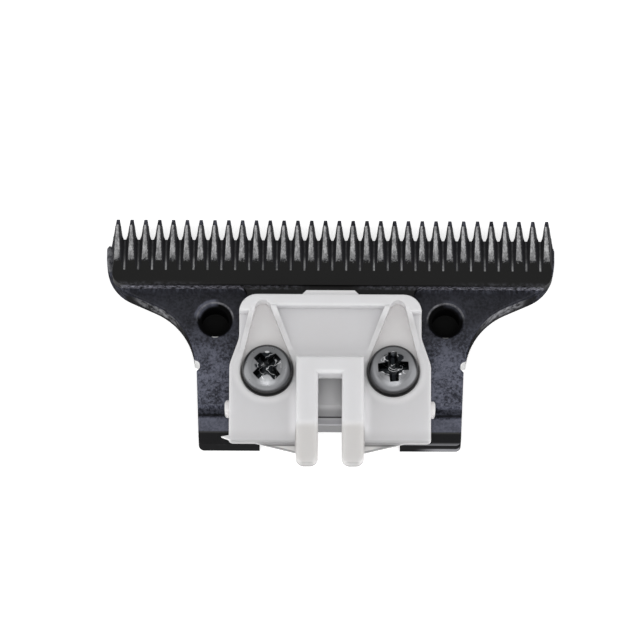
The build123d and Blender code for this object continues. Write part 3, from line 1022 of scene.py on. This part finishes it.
@dataclass(frozen=True)
class MouldedPlastic:
    """White moulded plastic, with painted light and shade: the recessed plate is painted greyer than the
    raised parts.
    """

    shaded_plate: Colour = (0.68, 0.677, 0.69, 1.0)
    raised_lit: Colour = (0.735, 0.735, 0.748, 1.0)
    rib: Colour = (0.47, 0.466, 0.47, 1.0)
    lit_plate: Colour = (0.89, 0.887, 0.90, 1.0)
    rear_shade: Colour = (0.56, 0.557, 0.566, 1.0)
    rear_face: Colour = (0.36, 0.358, 0.364, 1.0)
    prong_tip: Colour = (0.40, 0.394, 0.39, 1.0)
    low_edge: Colour = (0.20, 0.198, 0.196, 1.0)
    channel: Colour = (0.775, 0.76, 0.76, 1.0)
    prong_end: Colour = (0.56, 0.55, 0.543, 1.0)
    web: Colour = (0.52, 0.515, 0.51, 1.0)
    grime_and_shade: Colour = (0.09, 0.09, 0.092, 1.0)
    cream: Colour = (0.985, 0.98, 0.975, 1.0)
    roughness: Ends = (0.48, 0.38)
    glow: float = 0.7
    glow_spread: Factors = (1.0, 1.0, 1.0)
    # How deep the light goes, in metres
    glow_depth: float = 0.0012
    tint: Mottle = Mottle(clouds=0.25, specks=1.5, share=0.3)
    fine: Grain = Grain(scale=9.0, marks=0.0, strength=0.12)

    # The panel, its channels and its ribs
    above_plate: float = 0.05
    below_rim: float = 0.1
    below_plate: float = 0.05
    above_seat: float = 0.02
    rib_from_rim: Span = (-0.6, -2.3)
    rib_from_fork: Span = (0.05, 0.15)
    lit_from_rim: Span = (-0.55, -0.05)
    lit_from_fork_front: Span = (1.3, 0.0)
    lit_from_fork: Span = (0.9, 0.0)
    lit_from_screw: Span = (0.9, 0.1)
    rear_shade_reach: Span = (1.4, 0.0)

    # The painted shade on the fork, the rear face and the webs
    face_from_rear: Span = (0.3, 0.05)
    beside_fork: Span = (0.0, 0.15)
    within_fork: Span = (0.1, 0.0)
    prong_crest: Span = (0.35, -0.45)
    tip: Span = (0.14, 0.02)
    tip_underside: Span = (0.9, 0.7)
    above_underside: Span = (0.42, 0.2)
    web_from_rear: Span = (-0.05, -0.2)

    # The painted shade along the webs and in the gaps round the screw heads
    web_shade_from_edge: Span = (0.17, 0.05)
    web_shade_right: Span = (0.6, 2.4)
    web_shade_from_rear: Span = (-0.34, -0.26)
    web_shade_share: float = 0.8
    gap_edge: Span = (0.0, -0.12)
    gap_below_plate: Span = (-0.02, -0.12)

    def panel(self, shading: Shading, yoke: DriveYoke) -> Socket:
        """Colours the plate, with painted light near the rim, fork and screws and painted shade at its rear,
        and its channels and ribs.

        Args:
            shading: the material under way.
            yoke: the yoke.

        Returns:
            The colour.
        """
        wiring = shading.wiring
        past_rim = wiring.minus(shading.along, yoke.rim_y)
        from_fork = wiring.minus(shading.out, yoke.fork_half)
        _, _, radius = shading.from_axis(yoke.screw_x, yoke.screw_y)
        beside_fork = wiring.times(
            wiring.past(shading.along, yoke.fork_y, self.lit_from_fork_front),
            wiring.step(from_fork, *self.lit_from_fork),
        )
        round_screw = wiring.past(radius, yoke.gap_radius, self.lit_from_screw)
        # Painted light near the rim, the fork and the screws, over the shade that they cast.
        lit_plate = wiring.largest(wiring.step(past_rim, *self.lit_from_rim), beside_fork, round_screw)
        plate = wiring.blend(lit_plate, self.shaded_plate, self.lit_plate)
        # Painted shade towards the plate's rear edge.
        rear_shade = wiring.past(shading.along, yoke.rear_y, self.rear_shade_reach)
        plate = wiring.blend(rear_shade, plate, self.rear_shade)
        # The sunk floor is painted lighter than the plate, as painted light over its shade.
        sunk = wiring.step(shading.height, yoke.plate_z - self.below_plate, yoke.seat_z + self.above_seat)
        plate = wiring.blend(sunk, plate, self.channel)
        # Ribs away from the rim are painted darker, a painted shade.
        ribbed = wiring.times(
            wiring.step(past_rim, *self.rib_from_rim), wiring.step(from_fork, *self.rib_from_fork))
        # Raised parts are painted lighter than the plate, as painted light and shade.
        raised_lit = wiring.step(shading.height, yoke.plate_z + self.above_plate, yoke.rim_z - self.below_rim)
        return wiring.blend(raised_lit, plate, wiring.blend(ribbed, self.raised_lit, self.rib))

    def web_edge_shades(self, shading: Shading, yoke: DriveYoke) -> tuple[Feed, Feed]:
        """Finds painted shade along both edges of each web and over the outer half of the right one.

        Args:
            shading: the material under way.
            yoke: the yoke.

        Returns:
            A mask along the slanting lower edges and the right web, and one along the rear face.
        """
        wiring = shading.wiring
        slant = yoke.web_reach / yoke.web_length
        start = yoke.rear_y - yoke.web_reach - slant * yoke.fork_half
        edge_y = wiring.plus(wiring.times(shading.out, slant), start)
        lower = wiring.largest(
            wiring.past(shading.along, edge_y, self.web_shade_from_edge),
            wiring.past(shading.across, yoke.fork_half, self.web_shade_right),
        )
        upper = wiring.past(shading.along, yoke.rear_y, self.web_shade_from_rear)
        return lower, upper

    def body(self, shading: Shading, yoke: DriveYoke) -> Socket:
        """Colours the whole yoke, without the gaps round its screws.

        Args:
            shading: the material under way.
            yoke: the yoke.

        Returns:
            The colour.
        """
        wiring = shading.wiring
        past_rear = wiring.minus(shading.along, yoke.rear_y)
        past_tip = wiring.minus(shading.along, yoke.tip_y)
        from_fork = wiring.minus(shading.out, yoke.fork_half)
        beside_fork = wiring.step(from_fork, *self.beside_fork)
        faced = wiring.times(wiring.step(past_rear, *self.face_from_rear), beside_fork)
        sloped = wiring.times(
            wiring.past(shading.along, yoke.prong_y, self.prong_crest),
            wiring.step(from_fork, *self.within_fork),
        )
        under = wiring.times(
            wiring.past(shading.height, yoke.underside_z, self.above_underside),
            wiring.step(past_tip, *self.tip_underside),
        )
        webbed = wiring.times(wiring.step(past_rear, *self.web_from_rear), beside_fork)
        # Painted shade on the rear face, the prong ends and tips, the lower edges and the webs.
        layers = [
            (faced, self.rear_face),
            (sloped, self.prong_end),
            (wiring.step(past_tip, *self.tip), self.prong_tip),
            (under, self.low_edge),
            (webbed, self.web),
        ]
        # Painted shade along the webs' edges and over the right web.
        for shaded_edge in self.web_edge_shades(shading, yoke):
            layers.append((wiring.times(webbed, shaded_edge, self.web_shade_share), self.grime_and_shade))
        colour = self.panel(shading, yoke)
        for mask, layer in layers:
            colour = wiring.blend(mask, colour, layer)
        return colour

    def material(self, yoke: DriveYoke) -> Material:
        """Makes the finish.

        Args:
            yoke: the yoke, whose heights tell the raised parts from the recessed plate.

        Returns:
            The material.
        """
        shading = Shading("yoke_plastic")
        wiring = shading.wiring
        cloud = shading.mottled(self.tint, shading.place)
        tint = wiring.blend(cloud, self.cream, WHITE)
        tinted = wiring.blend(1.0, self.body(shading, yoke), tint, kind="MULTIPLY")

        # Painted shade darkens the gap round each screw head.
        _, _, radius = shading.from_axis(yoke.screw_x, yoke.screw_y)
        gap = wiring.times(
            wiring.past(radius, yoke.gap_radius, self.gap_edge),
            wiring.past(shading.height, yoke.plate_z, self.gap_below_plate),
        )
        shading.set(
            Base_Color=wiring.blend(gap, tinted, self.grime_and_shade),
            Roughness=wiring.between(cloud, *self.roughness),
            Subsurface_Weight=self.glow,
            Subsurface_Radius=self.glow_spread,
            Subsurface_Scale=self.glow_depth,
        )
        shading.roughen(self.fine, shading.place)
        return shading.material


@dataclass(frozen=True)
class PlatedSteel:
    """Bright plated screw steel with turning marks, a painted dark rim, and a chewed recess of dark grime,
    painted shade and painted glints.
    """

    bright: Colour = (0.275, 0.279, 0.29, 1.0)
    lump: Colour = (0.17, 0.175, 0.18, 1.0)
    grime_and_shade: Colour = (0.026, 0.029, 0.033, 1.0)
    painted_glint: Colour = (0.88, 0.89, 0.91, 1.0)
    rim: Colour = (0.02, 0.02, 0.021, 1.0)
    roughness: Ends = (0.27, 0.41)
    cloud: Mottle = Mottle(clouds=1.2, specks=6.0, share=0.35)
    turning: Grain = Grain(scale=9.0, marks=0.7, strength=0.2)
    turning_rise: float = 0.2

    # The recess, with painted shade over its front lobe. The edges of its lobe and of the front glint below
    # are in squares of their half sizes.
    rag: Cloud = Cloud(1.5, detail=3.0, rough=0.6)
    chewed_rag: float = 1.1
    chewed_edge: Span = (0.0, -0.15)
    sunk: Span = (0.12, 0.3)
    recess_edge: Span = (0.15, 0.0)
    lobe_rag: float = 1.6
    lobe_edge: Span = (1.05, 0.85)

    # What lies in it: lumps and painted glints
    lump_cloud: Cloud = Cloud(1.4, detail=2.0, rough=0.5)
    lumps: Span = (0.5, 0.62)
    lump_reach: Span = (0.85, 0.55)
    vein_cloud: Cloud = Cloud(0.95, detail=2.0, rough=0.4)
    vein: Span = (0.015, 0.005)
    vein_reach: Span = (0.05, -0.2)
    front_glint_edge: Span = (1.3, 0.5)

    # The painted dark rim, a painted dark reflection, wider at the front
    rim_front: Span = (-0.8, 0.6)
    rim_width: Ends = (0.2, 0.44)
    rim_soft: float = 0.22

    def inside(self, shading: Shading, screws: YokeScrews) -> Feed:
        """Finds the recess, whose edge the driver has chewed, and the painted shade over its front lobe.

        Args:
            shading: the material under way.
            screws: the screws.

        Returns:
            A mask, 1 where grime and painted shade fill the recess.
        """
        wiring = shading.wiring
        outward, ahead, radius = shading.from_axis(screws.axis_x, screws.axis_y)
        rag = wiring.waver(shading.place, self.rag)
        chewed = wiring.plus(radius, wiring.times(rag, self.chewed_rag))
        recess = wiring.times(
            wiring.past(screws.top_z, shading.height, self.sunk),
            wiring.past(radius, screws.recess_reach, self.recess_edge),
        )
        half_x, half_y = screws.lobe_half
        lobe = wiring.squares(
            wiring.over(outward, half_x), wiring.over(wiring.minus(ahead, screws.lobe_y), half_y))
        return wiring.largest(
            wiring.past(chewed, screws.chewed_reach, self.chewed_edge),
            recess,
            wiring.step(wiring.plus(lobe, wiring.times(rag, self.lobe_rag)), *self.lobe_edge),
        )

    def painted_glints(self, shading: Shading, screws: YokeScrews) -> Feed:
        """Finds the painted glints in the recess and at its front.

        Args:
            shading: the material under way.
            screws: the screws.

        Returns:
            A mask, 1 on the painted glints.
        """
        wiring = shading.wiring
        outward, ahead, radius = shading.from_axis(screws.axis_x, screws.axis_y)
        veins = wiring.times(
            wiring.step(wiring.absolute(wiring.waver(shading.place, self.vein_cloud)), *self.vein),
            wiring.past(radius, screws.recess_reach, self.vein_reach),
        )
        half_x, half_y = screws.front_glint_half
        front_glint = wiring.squares(
            wiring.over(outward, half_x), wiring.over(wiring.minus(ahead, screws.front_glint_y), half_y))
        return wiring.largest(veins, wiring.step(front_glint, *self.front_glint_edge))

    def material(self, screws: YokeScrews) -> Material:
        """Makes the finish.

        Args:
            screws: the screws, whose recess is darker than their heads.

        Returns:
            The material.
        """
        shading = Shading("screw_steel")
        wiring = shading.wiring
        _, ahead, radius = shading.from_axis(screws.axis_x, screws.axis_y)
        lumps = wiring.times(
            wiring.step(wiring.noise(shading.place, self.lump_cloud), *self.lumps),
            wiring.step(radius, *self.lump_reach),
        )
        # A painted dark rim round the head, a painted dark reflection.
        width = wiring.between(wiring.step(ahead, *self.rim_front), *self.rim_width)
        rim_from = wiring.minus(screws.head_radius, width)
        rim = wiring.step(radius, rim_from, wiring.plus(rim_from, self.rim_soft))
        recess = wiring.blend(lumps, self.grime_and_shade, self.lump)
        # Grime and painted shade in the recess.
        colour = wiring.blend(self.inside(shading, screws), self.bright, recess)
        colour = wiring.blend(rim, colour, self.rim)
        cloud = shading.mottled(self.cloud, shading.place)
        shading.set(
            # Painted glints in the recess.
            Base_Color=wiring.blend(self.painted_glints(shading, screws), colour, self.painted_glint),
            Metallic=1.0,
            Roughness=wiring.between(cloud, *self.roughness),
        )
        turned = {0: radius, 2: wiring.times(shading.height, self.turning_rise)}
        shading.roughen(self.turning, wiring.add("ShaderNodeCombineXYZ", turned).outputs[0])
        return shading.material


@dataclass
class Softbox:
    """One soft area light, aimed at the set. Sizes are in metres, angles in degrees."""

    name: str
    azimuth: float
    elevation: float
    width: float
    height: float
    brightness: float
    distance: float = 0.55

    def build(self, aim: Vector) -> None:
        """Adds the light.

        Args:
            aim: the point that the light faces.
        """
        turn, rise = radians(self.azimuth), radians(self.elevation)
        outward = Vector((sin(turn) * cos(rise), -cos(turn) * cos(rise), sin(rise)))
        data = bpy.data.lights.new(self.name, "AREA")
        data.shape = "RECTANGLE"
        data.size, data.size_y = self.width, self.height
        data.energy = self.brightness * pi * self.width * self.height
        light = bpy.data.objects.new(self.name, data)
        light.location = aim + outward * self.distance
        light.rotation_mode = "QUATERNION"
        light.rotation_quaternion = (-outward).to_track_quat("-Z", "Y")
        bpy.context.scene.collection.objects.link(light)
        log.info("light %s added", self.name)


@dataclass
class Studio:
    """The floor, the light and the camera. Sizes are in metres, angles in degrees."""

    aim: tuple[float, float, float] = (-0.00095, 0.00005, 0.0026)
    elevation: float = 73.0
    distance: float = 0.690
    frame_width: float = 0.0586
    roll: float = 0.3
    clip_start: float = 0.01
    floor_size: float = 3.0
    floor_drop: float = 0.00003
    floor_colour: Colour = (0.90, 0.90, 0.90, 1.0)
    floor_glow: float = 0.6
    floor_cloud: Cloud = Cloud(0.02, detail=2.0, rough=0.5)
    floor_roughness: Ends = (0.85, 0.95)
    hole_shade_floor: Colour = (0.014, 0.014, 0.014, 1.0)
    hole_shade_reach_mm: Span = (2.3, 2.5)
    sky_sides: float = 1.25
    sky_rear: float = 0.95
    sky_front: float = 0.5
    sky_top: float = 0.5
    sky_turn: Span = (0.1, 0.7)
    cap_starts: float = 45.0
    cap_full: float = 62.0

    def beside_holes(self, shading: Shading) -> Socket:
        """Returns 0 below the mounting holes, where the floor is painted black as painted shade, and 1
        elsewhere.
        """
        _, _, radius = shading.from_axis(FixedBlade.hole_x, FixedBlade.hole_y)
        return shading.wiring.step(radius, *self.hole_shade_reach_mm)

    def lay_floor(self) -> None:
        """Lays a large plain floor just below the set."""
        bpy.ops.object.select_all(action="DESELECT")
        bpy.ops.mesh.primitive_plane_add(size=self.floor_size, location=(0.0, 0.0, -self.floor_drop))
        floor = bpy.context.object
        floor.name = "floor"
        shading = Shading("floor_paper")
        wiring = shading.wiring
        cloud = wiring.noise(shading.place, self.floor_cloud)
        beside = self.beside_holes(shading)
        shading.set(
            # Below the holes the floor is painted black and does not glow, a painted shade.
            Base_Color=wiring.blend(beside, self.hole_shade_floor, self.floor_colour),
            Specular_IOR_Level=0.0,
            Roughness=wiring.between(cloud, *self.floor_roughness),
            Emission_Color=wiring.blend(beside, BLACK, self.floor_colour),
            Emission_Strength=self.floor_glow,
        )
        floor.data.materials.append(shading.material)
        log.info("floor laid")

    def hang_sky(self) -> None:
        """Hangs a pale sky with a darker cap and front, which keep flat black faces and far sides dark."""
        world = bpy.data.worlds.new("studio_sky")
        world.use_nodes = True
        wiring = Wiring(world.node_tree)
        source = wiring.add("ShaderNodeTexCoord", {})
        _, forward, up = wiring.apart(source.outputs["Generated"])
        turn_starts, turn_full = self.sky_turn
        open_sky = wiring.step(up, sin(radians(self.cap_full)), sin(radians(self.cap_starts)))
        ring = wiring.between(wiring.step(forward, -turn_starts, -turn_full), self.sky_sides, self.sky_rear)
        ring = wiring.between(wiring.step(forward, turn_starts, turn_full), ring, self.sky_front)
        background = world.node_tree.nodes["Background"]
        wiring.feed(background.inputs["Strength"], wiring.between(open_sky, self.sky_top, ring))
        wiring.feed(background.inputs["Color"], WHITE)
        bpy.context.scene.world = world
        log.info("sky hung")

    def set_lights(self) -> None:
        """Stands a softbox behind and above the set, which the screws mirror."""
        strip = Softbox("screw_strip", azimuth=0.0, elevation=65.0, width=0.30, height=0.26, brightness=2.6)
        strip.build(Vector(self.aim))

    def place_camera(self) -> None:
        """Stands the camera behind and above the set, looking down at it."""
        rise = radians(self.elevation)
        outward = Vector((0.0, -cos(rise), sin(rise)))
        data = bpy.data.cameras.new("camera")
        data.lens = data.sensor_width * self.distance / self.frame_width
        data.clip_start = self.clip_start
        camera = bpy.data.objects.new("camera", data)
        camera.location = Vector(self.aim) + outward * self.distance
        camera.rotation_mode = "QUATERNION"
        level = (-outward).to_track_quat("-Z", "Y")
        camera.rotation_quaternion = level @ Quaternion((0.0, 0.0, 1.0), radians(self.roll))
        bpy.context.scene.collection.objects.link(camera)
        bpy.context.scene.camera = camera
        bpy.context.scene.view_settings.view_transform = "Standard"
        log.info("camera placed")

    def build(self) -> None:
        """Builds the whole studio."""
        self.lay_floor()
        self.hang_sky()
        self.set_lights()
        self.place_camera()


def main() -> None:
    """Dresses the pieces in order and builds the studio."""
    logging.basicConfig(level=logging.INFO, format="%(name)s: %(message)s")
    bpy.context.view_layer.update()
    for piece in (FixedBlade(), Cutter(), DriveYoke(), YokeScrews()):
        piece.build()
    Studio().build()


if __name__ == "__main__":
    main()
